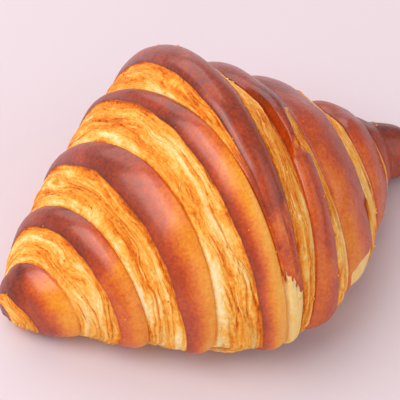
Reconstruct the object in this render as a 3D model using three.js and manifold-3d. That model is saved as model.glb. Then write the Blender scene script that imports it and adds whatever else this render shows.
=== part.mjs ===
// A large butter croissant: one piece of rolled and baked laminated dough.
// A long triangle of dough is rolled up from its base, so both of its slanting edges run
// round the roll as helices. They make the stepped wraps that come in towards the middle,
// where the triangle's point ends as a narrow tongue low on the front.
// Millimetres, +X towards the right tip, +Y to the back, +Z up. The origin is on the
// resting plane, under the middle of the croissant's box.

import * as THREE from 'three';
import Module from 'manifold-3d';

// ---- the body's envelope, measured from the thickest part --------------------------------
const HALF_WIDTH = 55; // front to back at the thickest part, halved
const HEIGHT = 70; // over the resting plane, at the thickest part
const RIDGE_ROUNDING = 5; // how far from the middle the top is rounded over
const BELLY_LEVEL = { middle: 0.23, tip: 0.42 }; // height of the widest line, as a share
const UNDERSIDE_DEPTH = 1.1; // the round underside's depth, as a share of the belly's height
const UNDERSIDE_RELIEF = 0.5; // how much of the relief is left on the underside
const SECTION_POWER = 1.05; // 1 is a plain ellipse, and more is a little more pointed
const BOW = 4.2; // how far the ends bend to the back, at BOW_REACH from the middle
const SKEW = 3.2; // how far the axis turns to the back, at BOW_REACH from the middle
const BOW_REACH = 65;
const TIP_CAP = 9; // length of the rounding at the end of a tip
const HORN_BEND_START = 12; // how far before the horn its own bend begins

// ---- the two ends: the left tip is shorter and blunter than the right --------------------
// lips: how far the edge of the dough is from the middle, after 0, 1, 2 ... turns of the
// roll, counted back from the end of the tongue.
// widths: how wide the cut face beside the edge is, at each quarter of a turn.
const LEFT = {
  sign: -1,
  taperReach: 65, // where the taper ends and the horn of the tip begins
  tipX: 70,
  tipHalfWidth: 11,
  tipHeight: 19,
  hornTaper: 0.1, // share of its size that the horn loses on the way to its tip
  widthPower: 1.5,
  heightPower: 1.05,
  hornBend: -1.6, // how far the horn bends towards +Y, on top of the bow
  lips: [0.5, 7.9, 27.6, 43.2, 62.6, 64.6, 65],
  hornReach: 3.4, // how much further out the edge lies once it is on the horn
  widths: [0.4, 1.5, 10.5, 12.5, 13.5, 8.6, 12, 11, 8.4, 8.6, 10.6, 10, 8.8, 8.8, 9, 8, 4],
  stepDepth: 2.3,
  backStep: 0, // how much deeper the cut faces are at the top and back
  shoulder: 0, // how far the body falls away at the top of the back
  lean: [2.7, 0.15], // how far the edge leans towards -X at the back, and what a turn adds
  pull: [-2.5, -0.1], // how far the edge is drawn towards +X at the underside, likewise
};
const RIGHT = {
  sign: 1,
  taperReach: 66,
  tipX: 82,
  tipHalfWidth: 10.8,
  tipHeight: 19,
  hornTaper: 0.3,
  widthPower: 2.1,
  heightPower: 1.12,
  hornBend: -9,
  lips: [6.5, 18.4, 36.8, 53.4, 71.5, 78.6, 80],
  hornReach: 0,
  widths: [3, 8.9, 3.8, 6, 8.4, 4.8, 4.2, 6, 7.8, 8, 7.5, 5.5, 4, 1.2, 1.4, 2, 2.5],
  stepDepth: 2.3,
  backStep: 1.4,
  shoulder: 3.2,
  lean: [-1.5, 1.3],
  pull: [-2.5, 1.1],
};

// ---- the roll ------------------------------------------------------------------------------
const TONGUE_END = 297; // degrees round from the bottom, by the back and over the top
const TURNS = 4 + TONGUE_END / 360; // the inner end of the dough comes out at the bottom
const CRUST_BULGE = 1.1; // how far a band of crust swells between its two edges
const CRUST_RISE = 1.35; // 1 is a straight rise from the tuck to the edge, and more is steeper first
const FULL_RELIEF_WIDTH = 30; // bulges and steps shrink where the half width is under this
const WIDEST_STEP = 0.8; // a cut face takes at most this share of the way to the next edge
const WIDEST_AT_TIP = 0.85; // and this share of the way to the tip
const OPEN_WIDTH = { from: 0.5, to: 5 }; // a cut face has its full depth once it is this wide
const SHALLOWEST_STEP = 0.35; // share of its depth that the narrowest cut face keeps
const BACK_CENTRE = 163; // degrees round from the bottom, where backStep has its full effect
const BACK_SPREAD = { none: 0.2, full: 1 }; // cosine of the angle away from BACK_CENTRE
const SHOULDER_CENTRE = 130; // degrees round from the bottom, where shoulder has its full effect
const SHOULDER_SPREAD = { none: 0.5, full: 0.9 }; // cosine of the angle away from its centre
const SHOULDER_START = { from: 2, to: 18 }; // distances from the middle where it comes in
const SHOULDER_END = { from: 52, to: 74 }; // and where it fades out again
const HORN_WRAP = { from: 4.02, to: 4.25 }; // turns over which the edge moves out to hornReach
const QUARTERS = 4;

// ---- fineness of the mesh ------------------------------------------------------------------
const STEPS_PER_TURN = 36;
const CRUST_ROWS = [0, 0.22, 0.5, 0.78, 0.93, 1];
const CUT_ROWS = [0.5, 1];
const ROWS = CRUST_ROWS.length - 1 + CUT_ROWS.length;
const STEPS = Math.round(TURNS * STEPS_PER_TURN);

const { clamp, lerp, smoothstep, degToRad } = THREE.MathUtils;

// A smooth curve through evenly spaced values, read `place` spaces from the first.
function alongRoll(values, place) {
  const curve = new THREE.SplineCurve(values.map((value, index) => new THREE.Vector2(index, value)));
  return curve.getPoint(clamp(place / (values.length - 1), 0, 1)).y;
}

// Half width and height of the envelope at a distance x from the middle.
function envelope(end, x) {
  const reach = Math.abs(x);
  const taper = clamp(reach / end.taperReach, 0, 1);
  const roundedReach = Math.hypot(x, RIDGE_ROUNDING) - RIDGE_ROUNDING;
  const slope = clamp(roundedReach / (end.taperReach - RIDGE_ROUNDING), 0, 1);
  const capStart = end.tipX - TIP_CAP;
  const inCap = clamp((reach - capStart) / TIP_CAP, 0, 1);
  const cap = Math.sqrt(1 - inCap * inCap);
  const horn = 1 - end.hornTaper * clamp((reach - end.taperReach) / (end.tipX - end.taperReach), 0, 1);
  return {
    halfWidth: cap * horn * lerp(end.tipHalfWidth, HALF_WIDTH, 1 - taper ** end.widthPower),
    height: horn * lerp(end.tipHeight, HEIGHT, 1 - slope ** end.heightPower),
    bellyLevel: lerp(BELLY_LEVEL.middle, BELLY_LEVEL.tip, taper * taper),
    cap,
  };
}

// The middle of the section at x, front to back.
function axisY(end, x) {
  const reach = x / BOW_REACH;
  const bend = end.hornBend * smoothstep(Math.abs(x), end.taperReach - HORN_BEND_START, end.tipX);
  return BOW * reach * reach + SKEW * reach + bend;
}

// How far the body falls away from the plain envelope, at the top of the back.
function shoulderFall(end, x, angle) {
  const reach = Math.abs(x);
  const starting = smoothstep(reach, SHOULDER_START.from, SHOULDER_START.to);
  const ending = 1 - smoothstep(reach, SHOULDER_END.from, SHOULDER_END.to);
  const away = Math.cos(angle - degToRad(SHOULDER_CENTRE));
  return end.shoulder * starting * ending * smoothstep(away, SHOULDER_SPREAD.none, SHOULDER_SPREAD.full);
}

// A point on the envelope at x, at an angle round from the bottom, sunk in by `depth`.
function surfacePoint(x, angle, depth) {
  const end = x < 0 ? LEFT : RIGHT;
  const { halfWidth, height, bellyLevel, cap } = envelope(end, x);
  const sine = Math.sin(angle);
  const cosine = Math.cos(angle);
  const belly = height * bellyLevel;
  const below = cosine > 0;
  const reachDown = below ? belly * UNDERSIDE_DEPTH : height - belly;
  const fall = depth + shoulderFall(end, x, angle);
  const sunk = fall * Math.min(1, halfWidth / FULL_RELIEF_WIDTH);
  const out = Math.max(halfWidth - sunk, 0);
  const up = Math.max(reachDown * cap - sunk * (below ? UNDERSIDE_RELIEF : 1), 0);
  return new THREE.Vector3(
    x,
    axisY(end, x) + out * Math.sign(sine) * Math.abs(sine) ** SECTION_POWER,
    belly - up * Math.sign(cosine) * Math.abs(cosine) ** SECTION_POWER,
  );
}

// Where the edge of the dough lies after `turns` turns, along X.
function lipX(end, turns, angle) {
  const fade = 1 - smoothstep(turns, 3, TURNS);
  const lean = (end.lean[0] + end.lean[1] * turns) * fade;
  const pull = (end.pull[0] + end.pull[1] * turns) * fade;
  const onHorn = end.hornReach * smoothstep(turns, HORN_WRAP.from, HORN_WRAP.to);
  const reach = end.sign * (alongRoll(end.lips, turns) + onHorn);
  return reach - lean * Math.sin(angle) + pull * (1 + Math.cos(angle));
}

// Width and depth of the cut face beside the edge.
function stepSize(end, turns, angle) {
  const edge = lipX(end, turns, angle);
  const room = WIDEST_STEP * Math.abs(lipX(end, turns + 1, angle) - edge);
  const toTip = WIDEST_AT_TIP * (end.tipX - Math.abs(edge));
  const width = Math.min(alongRoll(end.widths, turns * QUARTERS), room, toTip);
  const open = smoothstep(width, OPEN_WIDTH.from, OPEN_WIDTH.to);
  const away = Math.cos(angle - degToRad(BACK_CENTRE));
  const atBack = smoothstep(away, BACK_SPREAD.none, BACK_SPREAD.full);
  return {
    width,
    depth: end.stepDepth * lerp(SHALLOWEST_STEP, 1, open) + end.backStep * atBack,
  };
}

function angleAt(step) {
  return degToRad(TONGUE_END - (360 * step) / STEPS_PER_TURN);
}

// The middle line of the last wrap, between its two edges.
function middlePoint(step) {
  const turns = step / STEPS_PER_TURN;
  const angle = angleAt(step);
  const x = (lipX(LEFT, turns, angle) + lipX(RIGHT, turns, angle)) / 2;
  const sunk = RIGHT.stepDepth * turns ** 2;
  return surfacePoint(x, angle, sunk - CRUST_BULGE);
}

// One point of the ribbon of dough on one side: across the crust, over the edge and down
// the cut face.
function ribbonPoint(end, step, row) {
  const turns = step / STEPS_PER_TURN;
  const angle = angleAt(step);
  const edge = lipX(end, turns, angle);
  const lastCrustRow = CRUST_ROWS.length - 1;
  if (row > lastCrustRow) {
    const share = CUT_ROWS[row - lastCrustRow - 1];
    const { width, depth } = stepSize(end, turns, angle);
    return surfacePoint(edge + end.sign * width * share, angle, depth * share);
  }
  const share = CRUST_ROWS[row];
  let start = (lipX(LEFT, turns, angle) + lipX(RIGHT, turns, angle)) / 2;
  let startDepth = RIGHT.stepDepth * turns ** 2;
  let bulge = CRUST_BULGE * (1 - share ** 4);
  if (turns >= 1) {
    const under = stepSize(end, turns - 1, angle);
    start = lipX(end, turns - 1, angle) + end.sign * under.width;
    startDepth = under.depth;
    bulge = CRUST_BULGE * Math.sin(Math.PI * share);
  }
  const depth = startDepth * (1 - share) ** CRUST_RISE - bulge;
  return surfacePoint(lerp(start, edge, share), angle, depth);
}

// The whole skin: two helical ribbons that share the middle line of the last wrap, each
// stitched to itself one turn further on, with the tongue's end and both tips closed.
function rolledDough() {
  const vertices = [];
  const triangles = [];
  const add = (point) => vertices.push(point.x, point.y, point.z) / 3 - 1;
  const triangle = (flip, a, b, c) => triangles.push(...(flip ? [a, c, b] : [a, b, c]));

  const middle = [];
  for (let step = 0; step < STEPS_PER_TURN; step += 1) {
    middle.push(add(middlePoint(step)));
  }

  const grids = [LEFT, RIGHT].map((end) => {
    const flip = end.sign < 0;
    const grid = [];
    for (let step = 0; step <= STEPS; step += 1) {
      const inner = step < STEPS_PER_TURN ? middle[step] : grid[step - STEPS_PER_TURN][ROWS];
      const line = [inner];
      for (let row = 1; row <= ROWS; row += 1) {
        line.push(add(ribbonPoint(end, step, row)));
      }
      grid.push(line);
    }
    for (let step = 0; step < STEPS; step += 1) {
      for (let row = 0; row < ROWS; row += 1) {
        const a = grid[step][row];
        const b = grid[step][row + 1];
        const c = grid[step + 1][row + 1];
        const d = grid[step + 1][row];
        triangle(flip, a, b, c);
        triangle(flip, a, c, d);
      }
    }
    // The tip: the last turn's outer edge and the dough's inner end, drawn to one point.
    const rim = [];
    for (let step = STEPS - STEPS_PER_TURN; step <= STEPS; step += 1) {
      rim.push(grid[step][ROWS]);
    }
    for (let row = ROWS - 1; row > 0; row -= 1) {
      rim.push(grid[STEPS][row]);
    }
    const apex = add(surfacePoint(end.sign * end.tipX, 0, 0));
    rim.forEach((vertex, index) => {
      triangle(flip, vertex, apex, rim[(index + 1) % rim.length]);
    });
    return grid;
  });

  // The blunt end of the tongue, from edge to edge, down to the wrap that it lies on.
  const [left, right] = grids;
  const profile = [...left[0].slice(1).reverse(), middle[0], ...right[0].slice(1)];
  const foot = middle[STEPS_PER_TURN - 1];
  for (let index = 0; index + 1 < profile.length; index += 1) {
    triangle(false, foot, profile[index + 1], profile[index]);
  }
  return { vertices: Float32Array.from(vertices), triangles: Uint32Array.from(triangles) };
}

const wasm = await Module();
wasm.setup();

function solidFrom(vertices, triangles) {
  return new wasm.Manifold(new wasm.Mesh({ numProp: 3, vertProperties: vertices, triVerts: triangles }));
}

// A block over the resting plane, used to give the croissant its flat underside.
function blockAboveTable() {
  const block = new THREE.BoxGeometry(300, 300, 200).translate(0, 0, 100);
  const corners = [];
  const triangles = [];
  const seen = new Map();
  const position = block.getAttribute('position');
  for (const index of block.getIndex().array) {
    const corner = [position.getX(index), position.getY(index), position.getZ(index)];
    const key = corner.join(' ');
    if (!seen.has(key)) {
      seen.set(key, seen.size);
      corners.push(...corner);
    }
    triangles.push(seen.get(key));
  }
  return solidFrom(Float32Array.from(corners), Uint32Array.from(triangles));
}

function toGeometry(solid) {
  const mesh = solid.getMesh();
  const geometry = new THREE.BufferGeometry();
  geometry.setAttribute('position', new THREE.BufferAttribute(mesh.vertProperties, 3));
  geometry.setIndex(new THREE.BufferAttribute(mesh.triVerts, 1));
  geometry.computeVertexNormals();
  return geometry;
}

// Brings the middle of the box over the origin and leaves the height as it is.
function centred(geometry) {
  geometry.computeBoundingBox();
  const centre = geometry.boundingBox.getCenter(new THREE.Vector3());
  return geometry.translate(-centre.x, -centre.y, 0);
}

const dough = rolledDough();
const body = solidFrom(dough.vertices, dough.triangles).intersect(blockAboveTable());

const bakedCrust = new THREE.MeshStandardMaterial({ color: '#b4581f', roughness: 0.45, metalness: 0 });
const croissant = new THREE.Mesh(centred(toGeometry(body)), bakedCrust);
croissant.name = 'croissant';

const group = new THREE.Group();
group.add(croissant);

export default group;
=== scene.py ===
"""A large butter croissant on a pale table: its baked looks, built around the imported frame."""

import math

import bpy
import numpy as np
from mathutils import Matrix, Vector


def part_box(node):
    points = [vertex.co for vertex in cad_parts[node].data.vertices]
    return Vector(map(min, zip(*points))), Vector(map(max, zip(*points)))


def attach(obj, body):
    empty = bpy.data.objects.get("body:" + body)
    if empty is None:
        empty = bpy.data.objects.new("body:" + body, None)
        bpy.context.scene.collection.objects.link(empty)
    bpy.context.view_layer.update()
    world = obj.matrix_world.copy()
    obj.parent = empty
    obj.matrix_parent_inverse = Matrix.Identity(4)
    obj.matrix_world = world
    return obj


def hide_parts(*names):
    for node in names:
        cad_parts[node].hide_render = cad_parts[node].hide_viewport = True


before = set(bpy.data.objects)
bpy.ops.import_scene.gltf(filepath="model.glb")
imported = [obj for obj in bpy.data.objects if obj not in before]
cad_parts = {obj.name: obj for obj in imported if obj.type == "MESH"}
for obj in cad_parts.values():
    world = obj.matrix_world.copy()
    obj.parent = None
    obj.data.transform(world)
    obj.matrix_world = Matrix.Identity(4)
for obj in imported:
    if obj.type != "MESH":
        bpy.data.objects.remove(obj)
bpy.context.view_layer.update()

# ---- the frame ---------------------------------------------------------------------------
LOW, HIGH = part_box("croissant")

# ---- the body's plan, in the maker's millimetres, scaled to the box of the node ----------
HALF_WIDTH = 55.0                # front to back at the thickest part, halved
HEIGHT = 70.0
RIDGE_ROUNDING = 5.0             # how far from the middle the top is rounded over
BELLY_LEVEL = (0.23, 0.42)       # in the middle and at the tips, as a share of the height
UNDERSIDE_DEPTH = 1.1            # the round underside's depth, as a share of the belly's height
UNDERSIDE_RELIEF = 0.5           # how much of the relief is left on the underside
SECTION_POWER = 1.05             # 1 is a plain ellipse, and more is a little more pointed
BOW = 4.2                        # how far the ends bend to the back, at BOW_REACH
SKEW = 3.2                       # how far the axis turns to the back, at BOW_REACH
BOW_REACH = 65.0
TIP_CAP = 9.0                    # length of the rounding at the end of a tip
HORN_BEND_START = 12.0           # how far before the horn its own bend begins
FULL_RELIEF_WIDTH = 30.0         # relief shrinks where the half width is under this
SHOULDER_CENTRE = math.radians(130)  # the right side falls away most at the top of the back
SHOULDER_SPREAD = (0.5, 0.9)     # no fall and full fall, as the cosine of the angle from there
SHOULDER_START = (2, 18)         # distance from the middle where the fall starts and is full
SHOULDER_END = (52, 74)          # and where it starts to end and has ended

# lips: how far the edge of the dough is from the middle, after 0, 1, 2 ... turns of the roll.
# widths: how wide the cut face beside the edge is, at each quarter of a turn.
# glow, glow_reach: how much paler the tuck side is after each turn, and how far over.
LEFT = dict(
    sign=-1, shoulder=0.0, taper_reach=65.0, tip=70.0, tip_half_width=11.0, tip_height=19.0,
    horn_taper=0.1, width_power=1.5, height_power=1.05, horn_bend=-1.6,
    lips=(1.3, 7.9, 27.6, 43.2, 62.6, 64.6, 65.0), horn_reach=3.4,
    widths=(0.4, 1.5, 10.5, 12.5, 13.5, 8.6, 12.0, 11.0, 8.4, 8.6, 10.6, 10.0, 8.8, 8.8, 9.0, 8.0, 4.0),
    step_depth=2.3, back_step=0.0, lean=(2.7, 0.15), pull=(-2.5, -0.1), seed=11,
    glow=(0.0, 0.48, 0.42, 0.18, 0.36, 0.3), glow_reach=(0.5, 0.95, 0.90, 0.9, 0.75, 0.7),
    tip_bake=0.02,
)
RIGHT = dict(
    sign=1, shoulder=3.2, taper_reach=66.0, tip=82.0, tip_half_width=10.8, tip_height=19.0,
    horn_taper=0.3, width_power=2.1, height_power=1.12, horn_bend=-9.0,
    lips=(6.5, 18.4, 36.8, 53.4, 71.5, 78.6, 80.0), horn_reach=0.0,
    widths=(3.0, 8.9, 3.8, 6.0, 8.4, 4.8, 4.2, 6.0, 7.8, 8.0, 7.5, 5.5, 4.0, 1.2, 1.4, 2.0, 2.5),
    step_depth=2.3, back_step=1.4, lean=(-1.5, 1.3), pull=(-2.5, 1.1), seed=47,
    glow=(0.0, 0.10, 0.24, 0.12, 0.0, 0.0), glow_reach=(0.75, 0.75), tip_bake=0.10,
)
MILLIMETRE = (HIGH.x - LOW.x) / (LEFT["tip"] + RIGHT["tip"])

# ---- the roll ------------------------------------------------------------------------------
TONGUE_END = 297.0               # degrees round from the bottom, by the back and over the top
TURNS = 4 + TONGUE_END / 360     # the inner end of the dough comes out at the bottom
LEAN_FADE_START = 3              # turns from which the edge's lean and pull die away
HORN_TURNS = (4.02, 4.25)        # turns over which the edge runs out on to the horn
WIDEST_STEP = 0.8                # a cut face takes at most this share of the way to the next edge
WIDEST_AT_TIP = 0.85             # and this share of the way to the tip
NARROWEST_STEP = 0.3
SHALLOWEST_STEP = 0.35           # share of the full depth that the narrowest cut face has
STEP_DEPTH_WIDTHS = (0.5, 5.0)   # cut faces this wide have the least and the full depth
BACK_SPREAD = (0.2, 1.0)         # no back step and full back step, as a cosine
CRUST_BULGE = 1.1                # how far a band of crust swells between its two edges
TONGUE_EDGE_SINK = 0.4           # the crust's rounding towards its edge, on the tongue only
CRUST_RISE = 1.35                # 1 is a straight rise from the tuck to the edge
BACK_CENTRE = math.radians(163)  # where the back step has its full effect

# ---- fineness of the mesh ------------------------------------------------------------------
STEPS_PER_TURN = 160
STEPS = round(TURNS * STEPS_PER_TURN)
CRUST_ROWS = 22
CUT_ROWS = 38
ROWS = CRUST_ROWS + CUT_ROWS

# What a face's corner knows: place along and across the ribbon, cut face, bake with its painted shade, and
# tear.
FACTS = 5
CUT_COLUMN = 2
TIP_FACTS = (0.0, 3.0, 0.0, 0.9, 0.0)    # dark crust
BLUNT_FACTS = (0.0, 1.0, 1.0, 0.2, 1.0)  # pale torn dough

SHORTEST_RUN = 8                 # steps along one loose leaf edge
LONGEST_RUN = 46
CRUMB_FLOOR = 0.004              # metres above the table where the lowest crumb may lie
SHELF_ENDS = (-22.0, 0.5)        # millimetres from the middle, along the front of the base
SHELF_ANGLE = 300.0              # degrees round from the bottom
SHELF_FLATNESS = 0.3             # its height as a share of its depth
LOWEST_LEAF_EDGE = 3.0           # millimetres over the table
NARROWEST_FACE = 3.0             # millimetres of cut face that show loose leaf edges

# ---- relief of the surface -----------------------------------------------------------------
LEAF_PITCH = 1.9                 # one baked leaf of dough and its gap, across a cut face
LEAF_RELIEF = 1.0                # how far a leaf stands out from the gap beside it
LEDGE_RELIEF = 0.7               # one thicker fold stands proud along each cut face
LIP_RAGGEDNESS = 0.55            # how far the edges of the wraps wander
LIP_DROP = 0.9                   # the crisp edge of the crust over the first leaf
LIP_ROLL = 0.3                   # the crust rolls down towards its edge
CREVICE = 0.5                    # how deep the seam is where a wrap tucks under the next
BLISTER_RELIEF = 0.05
BLISTER_SIZE = 2.0
TONGUE_BLISTERS = 4.0            # how much rougher the lower part of the tongue is
LUMP_RELIEF = 0.45
LUMP_SIZE = 15
TEAR_DEPTH = 1.0                 # the crust torn off the tongue's end
NOTCH_HEIGHT = 2.1               # how proud the torn layer on the first right wrap stands
NOTCH_ANGLE = 204                # where round the roll that torn layer ends
NOTCH_INSET = 2.9                # how far the strip's edge steps in above the notch
NOTCH_OUTSET = 1.5               # and out below it
TONGUE_CRUST_END = (243, 252)    # degrees where the tongue's crust ends, on its two sides
TORN_EDGE = 0.004                # turns over which a tear goes from nothing to full
RIGHT_PATCH = (292, 285, 263, 258)  # degrees: a torn patch starts, is full, fades, has ended
RIGHT_FOLD = (262, 240, 236, 233)   # and a sunken fold above it, likewise
FOLD_DEPTH = 0.5                 # as a share of the notch's height
BLISTER_START = (221, 223.5)     # degrees over which the tongue's blisters set in and its crust turns paler, a line that is partly a painted reflection edge

# ---- how far things are baked: 0 pale crumb, 1 nearly black crust --------------------------
LEFT_BAKE = 0.85
RIGHT_BAKE = 0.84
CUT_BAKE = 0.51                  # the cut faces, before their leaves and streaks
LEAF_EDGE_BAKE = 0.52
LOOSE_LEAF_BAKE = 0.45
SHELF_BAKE = 0.18


def srgb(code):
    """A linear colour from a six-figure hexadecimal code."""
    parts = [int(code[i:i + 2], 16) / 255 for i in (0, 2, 4)]
    return tuple(p / 12.92 if p <= 0.04045 else ((p + 0.055) / 1.055) ** 2.4 for p in parts) + (1.0,)


# ---- small numeric helpers -----------------------------------------------------------------
def lerp(a, b, share):
    return a + (b - a) * share


def smoothstep(x, low, high):
    t = np.clip((x - low) / (high - low), 0, 1)
    return t * t * (3 - 2 * t)


def along_turns(values, turns):
    """A smooth curve through values that stand one turn apart."""
    values = np.asarray(values, float)
    turns = np.clip(turns, 0, len(values) - 1)
    first = np.minimum(turns.astype(int), len(values) - 2)
    t = turns - first
    before = values[np.maximum(first - 1, 0)]
    here = values[first]
    after = values[first + 1]
    beyond = values[np.minimum(first + 2, len(values) - 1)]
    rise_in = (after - before) / 2
    rise_out = (beyond - here) / 2
    cubic = 2 * here - 2 * after + rise_in + rise_out
    square = -3 * here + 3 * after - 2 * rise_in - rise_out
    return ((cubic * t + square) * t + rise_in) * t + here


def scatter(x, y, z, seed):
    """A repeatable value in 0..1 for each whole-numbered place."""
    mixed = x * 374761393 + y * 668265263 + z * 1440662683 + seed * 974634777
    mixed = mixed & 0xFFFFFFFF
    mixed = ((mixed ^ (mixed >> 13)) * 1274126177) & 0xFFFFFFFF
    return ((mixed ^ (mixed >> 16)) & 0xFFFF) / 65535.0


def noise(x, y, z=0.0, seed=0):
    """Smooth noise in -1..1, one lump per unit."""
    x, y, z = np.broadcast_arrays(x, y, z)
    cell = [np.floor(v).astype(np.int64) for v in (x, y, z)]
    part = [v - c for v, c in zip((x, y, z), cell)]
    ease = [p * p * (3 - 2 * p) for p in part]
    total = 0
    for corner in range(8):
        bits = [(corner >> k) & 1 for k in range(3)]
        weight = 1.0
        for e, bit in zip(ease, bits):
            weight = weight * (e if bit else 1 - e)
        total = total + weight * scatter(*(c + bit for c, bit in zip(cell, bits)), seed)
    return total * 2 - 1


def layered(x, y, z=0.0, seed=0, layers=3):
    """Noise with finer noise on top, still about -1..1."""
    total = 0
    for layer in range(layers):
        scale = 2 ** layer
        total = total + noise(x * scale, y * scale, z * scale, seed + layer) / scale
    return total / 1.5


# ---- the shape of the roll -----------------------------------------------------------------
def by_side(x, key):
    return np.where(x < 0, LEFT[key], RIGHT[key])


def surface_point(x, angle, depth):
    """Points on the envelope at x and at an angle round from the bottom, sunk by depth."""
    reach = np.abs(x)
    end_of_taper = by_side(x, "taper_reach")
    tip = by_side(x, "tip")
    taper = np.clip(reach / end_of_taper, 0, 1)
    rounded = np.hypot(x, RIDGE_ROUNDING) - RIDGE_ROUNDING
    slope = np.clip(rounded / (end_of_taper - RIDGE_ROUNDING), 0, 1)
    in_cap = np.clip((reach - (tip - TIP_CAP)) / TIP_CAP, 0, 1)
    cap = np.sqrt(1 - in_cap ** 2)
    horn = 1 - by_side(x, "horn_taper") * np.clip((reach - end_of_taper) / (tip - end_of_taper), 0, 1)
    wide = 1 - taper ** by_side(x, "width_power")
    high = 1 - slope ** by_side(x, "height_power")
    half_width = cap * horn * lerp(by_side(x, "tip_half_width"), HALF_WIDTH, wide)
    height = horn * lerp(by_side(x, "tip_height"), HEIGHT, high)
    belly = height * lerp(*BELLY_LEVEL, taper ** 2)

    sine, cosine = np.sin(angle), np.cos(angle)
    below = cosine > 0
    down = np.where(below, belly * UNDERSIDE_DEPTH, height - belly)
    fall = by_side(x, "shoulder") * smoothstep(reach, *SHOULDER_START)
    fall = fall * (1 - smoothstep(reach, *SHOULDER_END))
    fall = fall * smoothstep(np.cos(angle - SHOULDER_CENTRE), *SHOULDER_SPREAD)
    sunk = (depth + fall) * np.minimum(1, half_width / FULL_RELIEF_WIDTH)
    out = np.maximum(half_width - sunk, 0)
    up = np.maximum(down * cap - sunk * np.where(below, UNDERSIDE_RELIEF, 1), 0)
    bend = by_side(x, "horn_bend") * smoothstep(reach, end_of_taper - HORN_BEND_START, tip)
    axis = BOW * (x / BOW_REACH) ** 2 + SKEW * x / BOW_REACH + bend
    y = axis + out * np.sign(sine) * np.abs(sine) ** SECTION_POWER
    z = belly - up * np.sign(cosine) * np.abs(cosine) ** SECTION_POWER
    return np.stack([x + 0 * y, y, z + 0 * y], -1)


def lip_x(end, turns, angle):
    """Where the edge of the dough lies after so many turns back from the tongue's end."""
    fade = 1 - smoothstep(turns, LEAN_FADE_START, TURNS)
    lean = (end["lean"][0] + end["lean"][1] * turns) * fade
    pull = (end["pull"][0] + end["pull"][1] * turns) * fade
    reach = along_turns(end["lips"], turns) + end["horn_reach"] * smoothstep(turns, *HORN_TURNS)
    return end["sign"] * reach - lean * np.sin(angle) + pull * (1 + np.cos(angle))


def step_size(end, turns, angle):
    """Width and depth of the cut face beside the edge."""
    room = np.abs(lip_x(end, turns + 1, angle) - lip_x(end, turns, angle))
    width = np.minimum(along_turns(end["widths"], turns * 4), WIDEST_STEP * room)
    to_tip = WIDEST_AT_TIP * (end["tip"] - np.abs(lip_x(end, turns, angle)))
    last = smoothstep(turns, TURNS - 1, TURNS - 0.85)
    depth = end["step_depth"] * lerp(SHALLOWEST_STEP, 1, smoothstep(width, *STEP_DEPTH_WIDTHS))
    depth = depth + end["back_step"] * smoothstep(np.cos(angle - BACK_CENTRE), *BACK_SPREAD)
    return np.maximum(lerp(width, to_tip, last), NARROWEST_STEP), depth


def middle_x(turns, angle):
    return (lip_x(LEFT, turns, angle) + lip_x(RIGHT, turns, angle)) / 2


def turn_at(wrap, degrees):
    """How many turns back from the tongue's end a wrap passes an angle, given in degrees."""
    return wrap + (TONGUE_END - degrees) / 360


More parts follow.
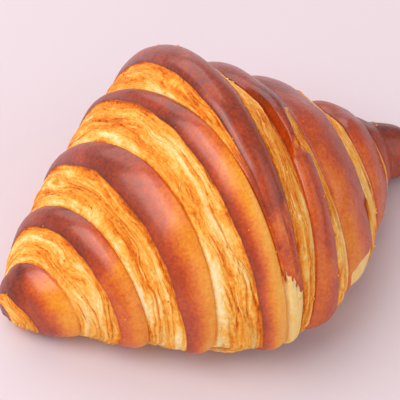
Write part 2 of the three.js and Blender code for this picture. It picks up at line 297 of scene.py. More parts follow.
class Ribbon:
    """One side's ribbon of dough: rows of points from the tuck over the crust and its edge,
    down the cut face to the next tuck, for every step of the roll."""

    def __init__(self, end):
        self.end = end
        self.right = end["sign"] > 0
        self.turns = (np.arange(STEPS + 1) / STEPS_PER_TURN)[:, None]
        self.angle = np.radians(TONGUE_END - 360 * self.turns)
        self.degrees = np.mod(TONGUE_END - 360 * self.turns, 360)
        even = np.linspace(0, 1, CRUST_ROWS + 1)
        self.crust = lerp(even, 0.5 - 0.5 * np.cos(np.pi * even), 0.6)[None, :]
        self.cut = (np.linspace(0, 1, CUT_ROWS + 1)[None, 1:]) ** 1.1
        self.place()
        self.measure()
        self.relieve()
        self.colour()

    def place(self):
        """The plain shape: position along the roll's axis, and depth under the envelope."""
        end, turns, angle = self.end, self.turns, self.angle
        edge = lip_x(end, turns, angle)
        width, depth = step_size(end, turns, angle)
        under_width, under_depth = step_size(end, np.maximum(turns - 1, 0), angle)
        tucked = turns >= 1
        start = np.where(
            tucked, lip_x(end, turns - 1, angle) + end["sign"] * under_width, middle_x(turns, angle))
        start_depth = np.where(tucked, under_depth, RIGHT["step_depth"] * turns ** 2)
        swell = np.where(tucked, np.sin(np.pi * self.crust ** 0.9), 1 - self.crust ** 4)
        lip_sink = TONGUE_EDGE_SINK * (1 - smoothstep(turns, 0.45, 0.9))
        lip_sink = lip_sink * smoothstep(width, 0.3, 3.0)
        crust_depth = start_depth * (1 - self.crust) ** CRUST_RISE - CRUST_BULGE * swell
        crust_depth = crust_depth + lip_sink * self.crust ** 2
        self.x = np.hstack([lerp(start, edge, self.crust), edge + end["sign"] * width * self.cut])
        self.depth = np.hstack([crust_depth, lerp(lip_sink, np.maximum(depth, lip_sink), self.cut ** 0.9)])
        self.share = np.hstack([0 * angle + self.crust, 0 * angle + self.cut])
        self.on_cut = np.zeros_like(self.x)
        self.on_cut[:, CRUST_ROWS + 1:] = 1

    def points(self):
        return surface_point(self.x, self.angle + 0 * self.x, self.depth)

    def measure(self):
        """Distances along and across the ribbon, in millimetres."""
        plain = self.points()
        steps = np.linalg.norm(np.diff(plain[:, CRUST_ROWS], axis=0), axis=-1)
        self.along = np.concatenate([[0], np.cumsum(steps)])[:, None]
        gaps = np.linalg.norm(np.diff(plain, axis=1), axis=-1)
        across = np.hstack([np.zeros((STEPS + 1, 1)), np.cumsum(gaps, axis=1)])
        self.from_lip = across - across[:, CRUST_ROWS:CRUST_ROWS + 1]
        self.face = self.from_lip[:, -1:]
        self.plain = plain

    def streak(self):
        """The place across the leaves, which the fine streaks follow, in millimetres."""
        return np.where(self.on_cut > 0, self.leaf * LEAF_PITCH, self.from_lip)

    def relieve(self):
        """Leaves, ragged edges, tears, lumps and blisters on the plain shape."""
        seed, along, across = self.end["seed"], self.along, self.from_lip
        x, y, z = (self.plain[..., k] for k in range(3))

        sweep = 1.6 * noise(along / 50, 0.0, 0, seed + 4) + 1.1 * noise(along / 30, across / 9, 0, seed)
        waver = 0.9 * noise(along / 11, across / 4, 0, seed + 3)
        tremble = 0.3 * noise(along / 4.5, across / 2.2, 0, seed + 8)
        leaf = across / LEAF_PITCH + sweep + waver + tremble
        number = np.floor(leaf)
        strength = np.clip(0.55 + 0.75 * noise(along / 15, number * 3.7, 0, seed + 5), 0.08, 1.2)
        ridge = np.abs(np.sin(np.pi * leaf)) ** 0.75
        fade = smoothstep(across, 0, 0.9) * (1 - smoothstep(self.share, 0.92, 1.0))
        room = smoothstep(self.face, 0.8, 3.5)
        slab = 0.45 * noise(along / 20, leaf / 2.6, 0, seed + 6)
        ledge_line = 0.52 + 0.16 * noise(along / 40, 0.0, 0, seed + 10)
        self.below_ledge = smoothstep(self.share, ledge_line - 0.02, ledge_line + 0.05)
        slab = slab + LEDGE_RELIEF * (0.5 - self.below_ledge)
        leaves = self.on_cut * fade * room * LEAF_RELIEF * (strength * (ridge - 0.6) + slab)
        drop = self.on_cut * LIP_DROP * smoothstep(across, 0, 0.4) * (1 - self.share) ** 1.5 * room
        roll = LIP_ROLL * np.exp(-np.abs(across) / 1.8) * room
        tucked_crust = (1 - self.on_cut) * (self.turns >= 1)
        seam = self.on_cut * smoothstep(self.share, 0.9, 1)
        seam = seam + tucked_crust * (1 - smoothstep(self.share, 0, 0.05))
        lumps = LUMP_RELIEF * layered(*(v / LUMP_SIZE for v in (x, y, z)), 71, 2)
        jag = 2.5 * noise(across / 2.5, 0.0, 0, seed + 51)
        on_tongue = (self.turns < 1) * (self.degrees < 300)
        self.blistered = on_tongue * smoothstep(self.degrees + jag, *BLISTER_START)
        blister_height = BLISTER_RELIEF * (1 + TONGUE_BLISTERS * self.blistered)
        blister = layered(*(v / BLISTER_SIZE for v in (x, y, z)), 83, 2)
        blisters = blister_height * (1 - self.on_cut) * blister
        grain = 0.10 * self.on_cut * layered(along / 4, across / 0.8, 0, seed + 9, 2)
        self.ridge, self.leaf = ridge, leaf
        self.torn, self.raised = self.tears()

        rag = LIP_RAGGEDNESS * layered(along / 13, 0.0, 0, seed + 13, 3)
        if self.right:
            above_notch = smoothstep(self.turns, turn_at(1, NOTCH_ANGLE + 1.5), turn_at(1, NOTCH_ANGLE))
            narrowed = above_notch * (1 - smoothstep(self.turns, turn_at(1, NOTCH_ANGLE), turn_at(1, 178)))
            below_notch = smoothstep(self.turns, turn_at(1, 238), turn_at(1, 216)) * (1 - above_notch)
            rag = rag - NOTCH_INSET * narrowed
            rag = rag + NOTCH_OUTSET * below_notch * (self.turns < turn_at(1, 190))
        near_lip = np.where(self.on_cut > 0, np.exp(-across / 4), np.exp(-(across / 2.5) ** 2))
        self.x = self.x + self.end["sign"] * rag * near_lip * (1 - self.share * self.on_cut)
        lift = leaves + grain + lumps + blisters + NOTCH_HEIGHT * self.raised
        self.depth = self.depth + roll + drop + CREVICE * seam + TEAR_DEPTH * self.torn - lift

    def tears(self):
        """Where the crust is torn away, and where a torn layer stands proud of the next."""
        turns, share, crust = self.turns, self.share, 1 - self.on_cut
        jagged = 0.004 * noise(share * 5, 0.0, 0, self.end["seed"] + 41)
        side = 0.5 + 0.5 * share * self.end["sign"]
        tongue_edge = turn_at(0, lerp(*TONGUE_CRUST_END, side)) + jagged
        bare = crust if self.right else 1
        torn = bare * (1 - smoothstep(turns, tongue_edge - TORN_EDGE, tongue_edge + TORN_EDGE))
        raised = 0 * torn
        if self.right:
            start, full, fading, ended = (turn_at(2, degrees) for degrees in RIGHT_PATCH)
            patch = smoothstep(turns, start, full) * (1 - smoothstep(turns + jagged, fading, ended))
            torn = torn + crust * patch * smoothstep(share, 0.0, 0.2)
            notch = turn_at(1, NOTCH_ANGLE + 2), turn_at(1, NOTCH_ANGLE - 2)
            layer = smoothstep(turns + 1.5 * jagged, *notch)
            self.layer = layer
            layer = layer * (1 - smoothstep(turns, turn_at(1, 194), turn_at(1, 150)))
            raised = crust * layer * smoothstep(share, 0.0, 0.3)
            start, full, fading, ended = (turn_at(2, degrees) for degrees in RIGHT_FOLD)
            fold = smoothstep(turns, start, full + 0.02 * share)
            fold = fold * (1 - smoothstep(turns, fading, ended + 0.03 * (1 - share)))
            raised = raised - FOLD_DEPTH * crust * fold
        return np.clip(torn, 0, 1), raised

    def colour(self):
        """How far each point is baked, with painted shade and painted reflection edges laid in: 0 pale
        crumb, 1 nearly black crust.
        """
        seed, along, across = self.end["seed"], self.along, self.from_lip
        x, y, z = (self.plain[..., k] for k in range(3))
        turns, share = self.turns, self.share
        front = smoothstep(np.cos(np.radians(self.degrees - 262)), 0.0, 0.8)
        # Crust and cut faces are made paler towards the lower front.
        low_front = smoothstep(self.degrees, 190, 245) * (1 - smoothstep(self.degrees, 285, 310))
        glow = along_turns(self.end["glow"], turns)
        spread = along_turns(self.end["glow_reach"], turns)
        if self.right:
            base = RIGHT_BAKE - 0.13 * front * smoothstep(turns, 0.9, 1.1)
        else:
            base = LEFT_BAKE - 0.05 * front - 0.06 * low_front
        toward_lip = np.where(turns < 1, 0.9, share)
        tuck_side = 1 - smoothstep(toward_lip + 0.10 * noise(along / 12, 0.0, 0, seed + 19), 0.2, spread)
        crust = base - glow * front * tuck_side
        speckle = layered(x / 1.3, y / 1.3, z / 1.3, seed + 53, 2)
        # Paler speckled crust on the blistered lower tongue; its sharp upper edge is also a painted
        # reflection edge, where the window's reflection ends.
        crust = crust - self.blistered * (0.13 + 0.22 * speckle)
        # Painted reflection edge: on the third left wrap the crust turns paler orange below a sharp line,
        # where the window's reflection ends.
        if not self.right:
            edge = self.degrees + 3.0 * noise(across / 4, 0.0, 0, seed + 55)
            crust = crust - 0.12 * (np.abs(turns - 3) < 0.24) * smoothstep(edge, 217, 220)
        crust = crust + 0.07 * layered(x / 8, y / 8, z / 8, seed + 21)
        crust = crust + self.end["tip_bake"] * smoothstep(np.abs(x), 55, 68)
        # The raised torn layer is made darker, partly for its own deeper bake and partly as painted shade.
        crust = crust + 0.10 * np.maximum(self.raised, 0)
        if self.right:
            # Painted shadow: the crust just below the raised torn layer is made darker.
            below_notch = smoothstep(turns, turn_at(1, 225), turn_at(1, 202)) - np.maximum(self.raised, 0)
            crust = crust + 0.05 * np.clip(below_notch, 0, 1) * (turns < turn_at(1, 200))
            rim = 4 * self.layer * (1 - self.layer) * (turns < turn_at(1, 195))
            crust = crust - 0.50 * rim * smoothstep(share, 0.1, 0.4)
            dark = smoothstep(turns, turn_at(2, 250), turn_at(2, 225))
            crust = crust + 0.08 * dark * (1 - smoothstep(turns, turn_at(2, 205), turn_at(2, 190)))
        seam_shade = np.where(turns >= 1, 1 - smoothstep(share, 0.0, 0.07), 0)
        crust = crust + 0.08 * seam_shade + 0.12 * np.exp(-np.abs(across) / 0.5)

        number = np.floor(self.leaf)
        patch = layered(along / 15, np.floor(self.leaf / 1.5) * 2.3, 0, seed + 31, 2)
        tone = noise(along / 30, number * 5.1, 0, seed + 33)
        broad = layered(along / 14, across / 4, 0, seed + 35, 2)
        fine = layered(along / 6, self.leaf * 2.5, 0, seed + 37, 2)
        marble = layered(along / 13, self.leaf * 0.8 + 0.4 * patch, 0, seed + 43, 2)
        # Painted shade: the gaps between the leaves are made darker, on some leaves only.
        parted = smoothstep(noise(along / 14, number * 3.1, 0, seed + 45), -0.05, 0.45)
        gap = (1 - self.ridge) ** 1.8 * parted
        ledge_shade = self.below_ledge * (1 - smoothstep(share, 0.62, 0.85))
        toast = CUT_BAKE + 0.34 * gap - 0.12 * tone + 0.14 * fine + 0.16 * broad + 0.10 * ledge_shade
        toast = toast - 0.14 * low_front - 0.24 * smoothstep(marble, 0.05, 0.55)
        near_lip = 1 - smoothstep(across + 0.8 * noise(along / 5, 0.0, 0, seed + 47), 0.2, 2.6)
        near_tuck = smoothstep(share, 0.80, 0.97)
        # The last term is painted shade: the cut face turns dark right at the seam where it tucks under the
        # next wrap.
        toast = toast + 0.20 * near_lip - 0.12 * near_tuck + 0.32 * smoothstep(share, 0.955, 0.985)
        self.layered = self.on_cut * smoothstep(self.face, 1.4, 2.6)
        # The bake holds the real bake together with the painted shade and painted reflection edges above.
        self.bake = np.clip(lerp(crust, toast, self.layered), 0, 1)


# ---- the mesh of the croissant -------------------------------------------------------------
def body_middle(points):
    """The middle of the body in plan, which stands over the middle of the node's box."""
    return (points[:, :2].min(0) + points[:, :2].max(0)) / 2


def to_frame(points, middle):
    """From the maker's millimetres to the frame: over the origin, on the resting plane."""
    points = np.array(points, float)
    points[:, :2] -= middle
    points[:, 2] = np.maximum(points[:, 2], 0)
    return points * MILLIMETRE + np.array([(LOW.x + HIGH.x) / 2, (LOW.y + HIGH.y) / 2, LOW.z])


def corner_facts(ribbon):
    """For each face of a ribbon, what its four corners know: band place, cut, bake with painted shade,
    tear.
    """
    info = np.stack([
        ribbon.along + 0 * ribbon.x, ribbon.streak(), ribbon.layered, ribbon.bake, ribbon.torn], -1)
    facts = around_faces(info)
    info[:, CRUST_ROWS, CUT_COLUMN] = info[:, CRUST_ROWS + 1, CUT_COLUMN]
    facts[:, CRUST_ROWS:] = around_faces(info)[:, CRUST_ROWS:]
    return facts


def around_faces(grid):
    """The four corners of each square of a grid, in order round the square."""
    return np.stack([grid[:-1, :-1], grid[:-1, 1:], grid[1:, 1:], grid[1:, :-1]], 2)


class Skin:
    """The closed skin as it grows: vertices, faces, and the facts at each face's corners."""

    def __init__(self):
        self.vertices, self.faces, self.corners = [], [], []

    def add(self, points):
        """Adds vertices and gives their numbers."""
        start = sum(len(block) for block in self.vertices)
        self.vertices.append(np.atleast_2d(points))
        return np.arange(start, start + len(self.vertices[-1]))

    def cover(self, faces, facts):
        self.faces.append(np.array(faces))
        self.corners.append(facts)

    def wrap(self, ribbon, first):
        """The ribbon's own faces. Its first row is the last row of one turn before."""
        index = np.zeros((STEPS + 1, ROWS + 1), int)
        index[:, 1:] = self.add(ribbon.points()[:, 1:].reshape(-1, 3)).reshape(STEPS + 1, ROWS)
        index[:STEPS_PER_TURN, 0] = first
        index[STEPS_PER_TURN:, 0] = index[:STEPS + 1 - STEPS_PER_TURN, ROWS]
        quads, facts = around_faces(index), corner_facts(ribbon)
        if not ribbon.right:
            quads, facts = quads[..., ::-1], facts[:, :, ::-1]
        self.cover(quads.reshape(-1, 4), facts.reshape(-1, 4, FACTS))
        return index

    def close_tip(self, ribbon, index):
        """A fan of triangles from the last turn's rim to the tip."""
        rim = list(index[STEPS - STEPS_PER_TURN:, ROWS]) + list(index[STEPS, ROWS - 1:0:-1])
        apex = self.add(surface_point(np.array([ribbon.end["sign"] * ribbon.end["tip"]]), 0.0, 0.0))[0]
        fan = [(rim[i], apex, rim[(i + 1) % len(rim)]) for i in range(len(rim))]
        if not ribbon.right:
            fan = [triangle[::-1] for triangle in fan]
        self.cover(fan, np.tile(TIP_FACTS, (len(fan), 3, 1)))

    def close_tongue(self, foot, left_row, right_row):
        """The blunt end of the tongue, from one side's cut face over to the other's."""
        profile = list(left_row[:0:-1]) + [left_row[0]] + list(right_row[1:])
        blunt = [(foot, profile[i + 1], profile[i]) for i in range(len(profile) - 1)]
        self.cover(blunt, np.tile(BLUNT_FACTS, (len(blunt), 3, 1)))


def roll_dough():
    """The skin's points, faces and corner facts, with the lines that the loose leaf edges and
    the shelf at the foot follow."""
    left, right = Ribbon(LEFT), Ribbon(RIGHT)
    skin = Skin()
    first = skin.add(left.points()[:STEPS_PER_TURN, 0])
    rows = []
    for ribbon in (left, right):
        index = skin.wrap(ribbon, first)
        skin.close_tip(ribbon, index)
        rows.append(index[0])
    skin.close_tongue(first[-1], *rows)
    points = np.vstack(skin.vertices)
    middle = body_middle(points)
    runs = [to_frame(run, middle) for ribbon in (left, right) for run in leaf_runs(ribbon)]
    return to_frame(points, middle), skin.faces, skin.corners, runs, to_frame(shelf_line(), middle)


def shelf_line():
    """The front of the base, where the lowest leaf of dough sticks out as a thin shelf."""
    x = np.linspace(*SHELF_ENDS, 60)
    angle = math.radians(SHELF_ANGLE) + 0 * x
    return surface_point(x, angle, 0.3 + 0.5 * noise(x / 5, 0.0, 0, 3))


def leaf_runs(ribbon):
    """Lines along the crests of the leaves on the cut faces, broken here and there."""
    spots = ribbon.points()
    rows = np.arange(CRUST_ROWS + 1, ROWS + 1)
    leaves, chance = ribbon.leaf[:, rows], np.random.default_rng(ribbon.end["seed"])
    runs = []
    for number in range(int(leaves.min()), int(leaves.max()) + 1):
        step = int(chance.integers(0, LONGEST_RUN))
        while step < STEPS - SHORTEST_RUN:
            length = int(chance.integers(SHORTEST_RUN, LONGEST_RUN))
            run = []
            for place in range(step, min(step + length, STEPS)):
                row = np.interp(number + 0.5, leaves[place], rows)
                if not rows[2] < row < rows[-3] or ribbon.face[place, 0] < NARROWEST_FACE:
                    break
                low = int(row)
                spot = lerp(spots[place, low], spots[place, low + 1], row - low)
                if spot[2] < LOWEST_LEAF_EDGE:
                    break
                run.append(spot)
            if len(run) >= SHORTEST_RUN:
                runs.append(np.array(run))
            step += length + int(chance.integers(SHORTEST_RUN, 2 * LONGEST_RUN))
    return runs


def make_mesh(name, points, faces, corners):
    mesh = bpy.data.meshes.new(name)
    mesh.from_pydata(points.tolist(), [], [list(map(int, face)) for block in faces for face in block])
    facts = np.concatenate([block.reshape(-1, FACTS) for block in corners])
    band = mesh.uv_layers.new(name="band")
    band.data.foreach_set("uv", (facts[:, :2] * 0.01).astype(np.float32).ravel())
    for column, attribute in ((2, "cut_face"), (3, "bake"), (4, "torn")):
        layer = mesh.attributes.new(attribute, "FLOAT", "CORNER")
        layer.data.foreach_set("value", facts[:, column].astype(np.float32))
    mesh.shade_smooth()
    mesh.validate()
    body = bpy.data.objects.new(name, mesh)
    bpy.context.scene.collection.objects.link(body)
    return body


def line_mesh(name, runs):
    """One mesh of bare lines, for a making to follow."""
    points, edges = [], []
    for run in runs:
        first = len(points)
        points.extend(map(tuple, run))
        edges.extend((first + i, first + i + 1) for i in range(len(run) - 1))
    mesh = bpy.data.meshes.new(name)
    mesh.from_pydata(points, edges, [])
    return mesh


# ---- shader tools --------------------------------------------------------------------------
class Wire:
    """A shader socket that adds, multiplies and compares by making Math nodes."""

    def __init__(self, recipe, socket):
        self.recipe, self.socket = recipe, socket

    def maths(self, operation, *values):
        return self.recipe.maths(operation, *values)

    def __add__(self, other):
        return self.maths("ADD", self, other)

    __radd__ = __add__

    def __sub__(self, other):
        return self.maths("SUBTRACT", self, other)

    def __rsub__(self, other):
        return self.maths("SUBTRACT", other, self)

    def __mul__(self, other):
        return self.maths("MULTIPLY", self, other)

    __rmul__ = __mul__

    def __pow__(self, other):
        return self.maths("POWER", self, other)

    def clamp(self):
        return self.maths("MAXIMUM", self.maths("MINIMUM", self, 1.0), 0.0)


class Steps:
    """What material recipes and Geometry Nodes makings share: nodes added as steps."""

    def connect(self, socket, value):
        if isinstance(value, Wire):
            self.tree.links.new(value.socket, socket)
        else:
            socket.default_value = value

    def node(self, kind, settings=None, *values, **named):
        node = self.tree.nodes.new(kind)
        for key, setting in (settings or {}).items():
            if key == "stops":
                self.set_stops(node.color_ramp, setting)
            else:
                setattr(node, key, setting)
        for socket, value in zip(node.inputs, values):
            self.connect(socket, value)
        for key, value in named.items():
            self.connect(node.inputs[key.replace("_", " ")], value)
        return node

    def set_stops(self, ramp, stops):
        while len(ramp.elements) < len(stops):
            ramp.elements.new(1.0)
        for element, (position, colour) in zip(ramp.elements, stops):
            element.position = position
            element.color = colour

    def wire(self, node, output=0):
        return Wire(self, node.outputs[output])

    def maths(self, operation, *values):
        return self.wire(self.node("ShaderNodeMath", {"operation": operation}, *values))


class Recipe(Steps):
    """A node material, written as steps."""

    def __init__(self, name):
        self.material = bpy.data.materials.new(name)
        self.material.use_nodes = True
        self.tree = self.material.node_tree
        self.shader = self.tree.nodes["Principled BSDF"]

    def attribute(self, name):
        return self.wire(self.node("ShaderNodeAttribute", {"attribute_name": name}), "Fac")

    def ramp(self, factor, stops):
        return self.wire(self.node("ShaderNodeValToRGB", {"stops": stops}, factor), "Color")

    def mix(self, factor, first, second):
        node = self.node("ShaderNodeMix", {"data_type": "RGBA"})
        self.connect(node.inputs[0], factor)
        self.connect(node.inputs[6], first)
        self.connect(node.inputs[7], second)
        return Wire(self, node.outputs[2])

    def grain(self, place, scale, detail=3.0, roughness=0.55, stretch=(1, 1, 1)):
        moved = self.node("ShaderNodeMapping", {}, place)
        moved.inputs["Scale"].default_value = stretch
        node = self.node("ShaderNodeTexNoise", {}, Scale=scale, Detail=detail, Roughness=roughness)
        self.connect(node.inputs["Vector"], Wire(self, moved.outputs[0]))
        return self.wire(node, 0)

    def bump(self, height, strength, distance):
        return self.wire(
            self.node("ShaderNodeBump", {}, Height=height, Strength=strength, Distance=distance))


class Making(Steps):
    """A Geometry Nodes tree, written as steps, with named sizes."""

    def __init__(self, name, **sizes):
        self.tree = bpy.data.node_groups.new(name, "GeometryNodeTree")
        plan = self.tree.interface
        plan.new_socket("Geometry", in_out="INPUT", socket_type="NodeSocketGeometry")
        plan.new_socket("Geometry", in_out="OUTPUT", socket_type="NodeSocketGeometry")
        self.sizes = {}
        for label, value in sizes.items():
            kind = "NodeSocketInt" if isinstance(value, int) else "NodeSocketFloat"
            socket = plan.new_socket(label, in_out="INPUT", socket_type=kind)
            self.sizes[socket.identifier] = value
        self.given = self.tree.nodes.new("NodeGroupInput")
        self.result = self.tree.nodes.new("NodeGroupOutput")

    def size(self, label):
        return Wire(self, self.given.outputs[label])

    def incoming(self):
        return Wire(self, self.given.outputs["Geometry"])

    def step(self, kind, geometry, settings=None, **named):
        """A node that takes geometry first and gives geometry."""
        return self.wire(self.node(kind, settings, geometry, **named))

    def between(self, low, high, seed):
        """A different number for each element, from low to high."""
        node = self.node("FunctionNodeRandomValue", {"data_type": "FLOAT"})
        self.connect(node.inputs[2], low)
        self.connect(node.inputs[3], high)
        self.connect(node.inputs["Seed"], seed)
        return self.wire(node, 1)

    def any_turn(self, seed):
        """A different rotation for each element."""
        node = self.node("FunctionNodeRandomValue", {"data_type": "FLOAT_VECTOR"})
        self.connect(node.inputs[1], (math.tau, math.tau, math.tau))
        self.connect(node.inputs["Seed"], seed)
        return self.wire(node, 0)

    def vector(self, operation, *values, **named):
        return self.wire(self.node("ShaderNodeVectorMath", {"operation": operation}, *values, **named))

    def wobble(self, geometry, amount, spacing):
        """The geometry moved to and fro by smooth noise."""
        field = self.node("ShaderNodeTexNoise", {}, Scale=self.maths("DIVIDE", 1.0, spacing))
        shift = self.vector("SUBTRACT", self.wire(field, 1), (0.5, 0.5, 0.5))
        shift = self.vector("SCALE", shift, Scale=amount)
        return self.step("GeometryNodeSetPosition", geometry, Offset=shift)

    def make(self, name, source, result, material):
        """Runs the making on the source's mesh and gives a plain, finished piece."""
        real = self.step("GeometryNodeRealizeInstances", result)
        smooth = self.step("GeometryNodeSetShadeSmooth", real)
        finished = self.step("GeometryNodeSetMaterial", smooth, Material=material)
        self.tree.links.new(finished.socket, self.result.inputs[0])
        blank = bpy.data.objects.new(name + "_source", source)
        bpy.context.scene.collection.objects.link(blank)
        modifier = blank.modifiers.new("making", "NODES")
        modifier.node_group = self.tree
        for identifier, value in self.sizes.items():
            modifier[identifier] = value
        seen = blank.evaluated_get(bpy.context.evaluated_depsgraph_get())
        mesh = bpy.data.meshes.new_from_object(seen)
        mesh.name = name
        bpy.data.objects.remove(blank)
        piece = bpy.data.objects.new(name, mesh)
        bpy.context.scene.collection.objects.link(piece)
        return piece


# ---- materials -----------------------------------------------------------------------------
CRUST_STOPS = (
    (0.00, srgb("f8d488")), (0.20, srgb("fbb540")), (0.38, srgb("f29610")), (0.55, srgb("de6c06")),
    (0.70, srgb("c04608")), (0.85, srgb("92300c")), (1.00, srgb("4e180c")),
)
CUT_STOPS = (
    (0.00, srgb("feebb8")), (0.20, srgb("fdd581")), (0.44, srgb("fbb044")), (0.66, srgb("ea8424")),
    (0.84, srgb("cc6016")), (1.00, srgb("96440e")),
)


def baked_dough():
    """Egg-washed crust, and the layered cut faces beside it, told apart by the cut_face mark."""
    recipe = Recipe("baked_dough")
    solid = recipe.wire(recipe.node("ShaderNodeTexCoord"), "Object")
    band = recipe.wire(recipe.node("ShaderNodeUVMap", {"uv_map": "band"}))
    # The bake attribute holds the real bake together with painted shade and painted reflection edges.
    bake = recipe.attribute("bake")
    torn_edge = recipe.grain(solid, 420.0, 3.0)
    torn = ((recipe.attribute("torn") + (torn_edge - 0.5) * 0.6 - 0.35) * 6.0).clamp()
    cut = recipe.attribute("cut_face")
    layered_face = recipe.maths("MAXIMUM", cut, torn)

    pebbles = recipe.grain(solid, 1000.0, 2.0)
    mottle = recipe.grain(solid, 330.0, 4.0)
    patches = recipe.grain(solid, 75.0, 3.0)
    streaks = recipe.grain(band, 14.0, 4.0, 0.6, (1.0, 7.0, 1.0))
    fibres = recipe.grain(band, 50.0, 3.0, 0.65, (1.0, 4.0, 1.0))
    crumb = recipe.grain(solid, 800.0, 3.0, 0.65)

    crust_level = bake + (mottle - 0.5) * 0.16 + (pebbles - 0.5) * 0.30 + (patches - 0.5) * 0.10
    cut_level = bake + (streaks - 0.5) * 0.60 + (fibres - 0.5) * 0.80 + (crumb - 0.5) * 0.50
    cut_level = cut_level * (1 - torn) + torn * (0.16 + (streaks - 0.5) * 0.5 + (crumb - 0.5) * 0.3)
    crust_colour = recipe.ramp(crust_level.clamp(), CRUST_STOPS)
    cut_colour = recipe.ramp(cut_level.clamp(), CUT_STOPS)
    colour = recipe.mix(layered_face, crust_colour, cut_colour)
    recipe.connect(recipe.shader.inputs["Base Color"], colour)

    gloss = 0.46 + (mottle - 0.5) * 0.3
    recipe.connect(recipe.shader.inputs["Roughness"], gloss * (1 - layered_face) + layered_face * 0.6)
    egg_wash = (pebbles * 0.5 + 0.33).clamp()
    recipe.connect(recipe.shader.inputs["Coat Weight"], (1 - layered_face) * egg_wash)
    recipe.shader.inputs["Coat Roughness"].default_value = 0.24
    recipe.shader.inputs["Coat IOR"].default_value = 1.8
    recipe.shader.inputs["Specular IOR Level"].default_value = 0.12

    skin = recipe.bump(pebbles + mottle * 0.5, 0.6, 0.0006)
    leaves = recipe.bump(fibres + streaks + crumb * 0.6, 0.5, 0.0006)
    normal = recipe.node("ShaderNodeMix", {"data_type": "VECTOR"})
    recipe.connect(normal.inputs[0], layered_face)
    recipe.connect(normal.inputs[4], skin)
    recipe.connect(normal.inputs[5], leaves)
    recipe.connect(recipe.shader.inputs["Normal"], Wire(recipe, normal.outputs[1]))
    return recipe.material


def toasted_leaf(name, toasting):
    """The crisp outer edge of a leaf: cream where it is thin, orange where it caught the heat."""
    recipe = Recipe(name)
    solid = recipe.wire(recipe.node("ShaderNodeTexCoord"), "Object")
    broad = recipe.grain(solid, 160.0, 3.0) - 0.5
    fine = recipe.grain(solid, 900.0, 2.0) - 0.5
    toast = broad * 1.4 + toasting + fine * 0.3
    recipe.connect(recipe.shader.inputs["Base Color"], recipe.ramp(toast.clamp(), CUT_STOPS))
    recipe.connect(recipe.shader.inputs["Roughness"], 0.45 + toast.clamp() * 0.2)
    recipe.shader.inputs["Specular IOR Level"].default_value = 0.3
    rough = recipe.bump(recipe.grain(solid, 1500.0, 3.0), 0.6, 0.0004)
    recipe.connect(recipe.shader.inputs["Normal"], rough)
    return recipe.material


def flaked_crust():
    """Loose crumbs and flakes: golden to brown, drier than the crust under them."""
    recipe = Recipe("flaked_crust")
    solid = recipe.wire(recipe.node("ShaderNodeTexCoord"), "Object")
    bake = recipe.grain(solid, 240.0, 2.0) * 1.3 - 0.25
    recipe.connect(recipe.shader.inputs["Base Color"], recipe.ramp(bake.clamp(), CRUST_STOPS))
    recipe.connect(recipe.shader.inputs["Roughness"], 0.5 + (recipe.grain(solid, 1200.0) - 0.5) * 0.3)
    recipe.shader.inputs["Specular IOR Level"].default_value = 0.3
    rough = recipe.bump(recipe.grain(solid, 2200.0, 2.0), 0.5, 0.0003)
    recipe.connect(recipe.shader.inputs["Normal"], rough)
    return recipe.material


def table_paper():
    recipe = Recipe("table_paper")
    solid = recipe.wire(recipe.node("ShaderNodeTexCoord"), "Object")
    tooth = recipe.grain(solid, 3.0, 2.0)
    colour = recipe.mix(tooth, srgb("dcd0d7"), srgb("e0d5da"))
    recipe.connect(recipe.shader.inputs["Base Color"], colour)
    recipe.shader.inputs["Roughness"].default_value = 0.8
    return recipe.material


# ---- pieces made by Geometry Nodes ----------------------------------------------------------
def leaf_edges(runs):
    """Crisp leaf edges that follow the roll round on the cut faces, thin at both ends."""
    making = Making("leaf_edges", thickness=0.00032, waver=0.0006, waver_spacing=0.004, sides=6)
    lines = making.step("GeometryNodeMeshToCurve", making.incoming())
    lines = making.wobble(lines, making.size("waver"), making.size("waver_spacing"))
    along = making.wire(making.node("GeometryNodeSplineParameter"))
    swell = making.maths("SINE", along * math.pi) ** 0.6
    uneven = making.node("ShaderNodeTexNoise", {}, Scale=180.0)
    swell = swell * (making.wire(uneven) * 1.6 + 0.2)
    round_edge = making.wire(making.node("GeometryNodeCurvePrimitiveCircle", {}, Radius=1.0))
    making.connect(round_edge.socket.node.inputs["Resolution"], making.size("sides"))
    tube = making.step(
        "GeometryNodeCurveToMesh", lines, Profile_Curve=round_edge,
        Scale=swell * making.size("thickness"), Fill_Caps=True)
    material = toasted_leaf("leaf_edge", LEAF_EDGE_BAKE)
    return making.make("leaf_edges", line_mesh("leaf_lines", runs), tube, material)


def loose_flakes(runs):
    """Short bent flakes of leaf that stand up along the same edges."""
    making = Making(
        "loose_flakes", spacing=0.0125, flake_length=0.0019, flake_width=0.0009,
        flake_thickness=0.00016, bend=260.0, seed=5)
    lines = making.step("GeometryNodeMeshToCurve", making.incoming())
    spots = making.node(
        "GeometryNodeCurveToPoints", {"mode": "LENGTH"}, lines, Length=making.size("spacing"))
    size = making.wire(making.node(
        "ShaderNodeCombineXYZ", {}, making.size("flake_width"), making.size("flake_thickness"),
        making.size("flake_length")))
    flake = making.wire(making.node(
        "GeometryNodeMeshCube", {}, Size=size, Vertices_X=2, Vertices_Y=2, Vertices_Z=5))
    place = making.node("ShaderNodeSeparateXYZ", {}, making.wire(making.node("GeometryNodeInputPosition")))
    lengthwise = making.wire(place, "Z")
    curl = lengthwise * lengthwise * making.size("bend")
    shift = making.wire(making.node("ShaderNodeCombineXYZ", {}, Y=curl))
    flake = making.step("GeometryNodeSetPosition", flake, Offset=shift)
    tilt = making.node("FunctionNodeRotateRotation", {"rotation_space": "LOCAL"})
    making.connect(tilt.inputs[0], making.wire(spots, "Rotation"))
    small_turn = making.vector("SCALE", making.any_turn(making.size("seed")), Scale=0.12)
    making.connect(tilt.inputs[1], small_turn)
    flakes = making.step(
        "GeometryNodeInstanceOnPoints", making.wire(spots), Instance=flake, Rotation=making.wire(tilt),
        Scale=making.between(0.4, 1.2, making.size("seed")))
    material = toasted_leaf("loose_leaf", LOOSE_LEAF_BAKE)
    return making.make("loose_flakes", line_mesh("flake_lines", runs), flakes, material)


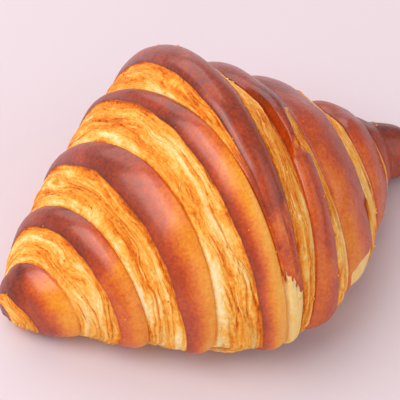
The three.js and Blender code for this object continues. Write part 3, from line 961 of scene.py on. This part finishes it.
def base_shelf(line):
    """The thin pale shelf of dough that spread out on the tray at the front."""
    making = Making(
        "base_shelf", half_width=0.0021, flatness=SHELF_FLATNESS, ragged=0.0018, rag_spacing=0.0035)
    lines = making.step("GeometryNodeMeshToCurve", making.incoming())
    along = making.wire(making.node("GeometryNodeSplineParameter"))
    uneven = making.wire(making.node("ShaderNodeTexNoise", {}, Scale=320.0))
    swell = (making.maths("SINE", along * math.pi) ** 0.4) * (uneven * 1.2 + 0.4)
    round_edge = making.wire(making.node(
        "GeometryNodeCurvePrimitiveCircle", {}, Resolution=12, Radius=1.0))
    shelf = making.step(
        "GeometryNodeCurveToMesh", lines, Profile_Curve=round_edge,
        Scale=swell * making.size("half_width"), Fill_Caps=True)
    shelf = making.wobble(shelf, making.size("ragged"), making.size("rag_spacing"))
    squash = making.wire(making.node("ShaderNodeCombineXYZ", {}, 1.0, 1.0, making.size("flatness")))
    shelf = making.step("GeometryNodeTransform", shelf, Scale=squash)
    tall_line = [(x, y, z / SHELF_FLATNESS) for x, y, z in line]
    material = toasted_leaf("pale_dough", SHELF_BAKE)
    return making.make("base_shelf", line_mesh("shelf_line", [tall_line]), shelf, material)


def crumbs(skin):
    """Tiny crumbs that lie on the crust and the cut faces, none on the resting side."""
    making = Making("crumbs", per_square_metre=3200.0, radius=0.00042, roughness=0.0003, seed=8)
    height = making.node("ShaderNodeSeparateXYZ", {}, making.wire(making.node("GeometryNodeInputPosition")))
    facing = making.node("ShaderNodeSeparateXYZ", {}, making.wire(making.node("GeometryNodeInputNormal")))
    above = making.maths("GREATER_THAN", making.wire(height, "Z"), LOW.z + CRUMB_FLOOR)
    level = making.maths("GREATER_THAN", making.wire(facing, "Z"), 0.0)
    spots = making.node(
        "GeometryNodeDistributePointsOnFaces", {}, making.incoming(), above * level,
        Density=making.size("per_square_metre"), Seed=making.size("seed"))
    ball = making.wire(making.node(
        "GeometryNodeMeshIcoSphere", {}, Radius=making.size("radius"), Subdivisions=2))
    ball = making.wobble(ball, making.size("roughness"), making.size("radius"))
    grains = making.step(
        "GeometryNodeInstanceOnPoints", making.wire(spots), Instance=ball,
        Rotation=making.any_turn(making.size("seed")), Scale=making.between(0.3, 1.1, making.size("seed")))
    return making.make("crumbs", skin.data.copy(), grains, flaked_crust())


# ---- stage ---------------------------------------------------------------------------------
LENGTH = HIGH.x - LOW.x
CENTRE = (LOW + HIGH) / 2
CAMERA_AZIMUTH = -30.0
CAMERA_ELEVATION = 49.0
CAMERA_ROLL = 2.5
CAMERA_DISTANCE = 3.87 * LENGTH
CAMERA_AIM = Vector((-0.053, -0.003, 0.153)) * LENGTH + Vector((CENTRE.x, CENTRE.y, LOW.z))
SENSOR = 36.0
LENS = 171.0
TABLE_HALF = 3.0
TABLE_GAP = 0.0002               # keeps the table's face clear of the resting plane


def make_camera():
    azimuth, elevation, roll = map(math.radians, (CAMERA_AZIMUTH, CAMERA_ELEVATION, CAMERA_ROLL))
    back = Vector((
        math.sin(azimuth) * math.cos(elevation),
        -math.cos(azimuth) * math.cos(elevation),
        math.sin(elevation)))
    level = Vector((math.cos(azimuth), math.sin(azimuth), 0))
    rise = back.cross(level)
    right = level * math.cos(roll) + rise * math.sin(roll)
    up = rise * math.cos(roll) - level * math.sin(roll)
    data = bpy.data.cameras.new("camera")
    data.sensor_width = SENSOR
    data.lens = LENS
    data.clip_start = 0.01
    camera = bpy.data.objects.new("camera", data)
    turned = Matrix((right, up, back)).transposed().to_4x4()
    camera.matrix_world = Matrix.Translation(CAMERA_AIM + back * CAMERA_DISTANCE) @ turned
    bpy.context.scene.collection.objects.link(camera)
    bpy.context.scene.camera = camera


def make_light(name, azimuth, elevation, distance, size, power, colour):
    """A square soft box that looks at the croissant."""
    data = bpy.data.lights.new(name, "AREA")
    data.shape = "RECTANGLE"
    data.size, data.size_y = size
    data.energy = power
    data.color = colour
    light = bpy.data.objects.new(name, data)
    turn, rise = math.radians(azimuth), math.radians(elevation)
    outward = Vector((math.cos(turn) * math.cos(rise), math.sin(turn) * math.cos(rise), math.sin(rise)))
    light.location = CENTRE + outward * distance
    light.rotation_euler = outward.to_track_quat("Z", "Y").to_euler()
    bpy.context.scene.collection.objects.link(light)


def make_stage():
    mesh = bpy.data.meshes.new("table")
    signs = ((-1, -1), (1, -1), (1, 1), (-1, 1))
    corners = [(x * TABLE_HALF, y * TABLE_HALF, LOW.z - TABLE_GAP) for x, y in signs]
    mesh.from_pydata(corners, [], [(0, 1, 2, 3)])
    mesh.materials.append(table_paper())
    table = bpy.data.objects.new("table", mesh)
    bpy.context.scene.collection.objects.link(table)

    world = bpy.data.worlds.new("studio")
    world.use_nodes = True
    world.node_tree.nodes["Background"].inputs["Color"].default_value = srgb("f4e9ec")
    world.node_tree.nodes["Background"].inputs["Strength"].default_value = 0.44
    bpy.context.scene.world = world
    make_light("tall_window", 168, 46, 1.1, (0.9, 0.8), 6.8, (1.0, 0.96, 0.94))
    make_light("ceiling_panel", 175, 70, 1.2, (1.0, 1.0), 3.2, (1.0, 0.96, 0.96))
    make_light("front_fill", 262, 18, 1.5, (2.0, 1.4), 5.1, (1.0, 0.98, 0.98))
    make_light("right_fill", -35, 32, 1.3, (1.2, 0.8), 2.4, (1.0, 0.96, 0.95))
    make_light("back_wall", 84, 33, 1.4, (1.8, 1.2), 10.5, (1.0, 0.95, 0.97))
    bpy.context.scene.view_settings.view_transform = "Standard"


# ---- put together --------------------------------------------------------------------------
make_camera()
make_stage()

skin_points, skin_faces, skin_corners, leaf_lines, shelf = roll_dough()
croissant = make_mesh("croissant_skin", skin_points, skin_faces, skin_corners)
croissant.data.materials.append(baked_dough())
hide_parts("croissant")

small_pieces = (leaf_edges(leaf_lines), loose_flakes(leaf_lines), base_shelf(shelf), crumbs(croissant))
for piece in (croissant, *small_pieces):
    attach(piece, "root")
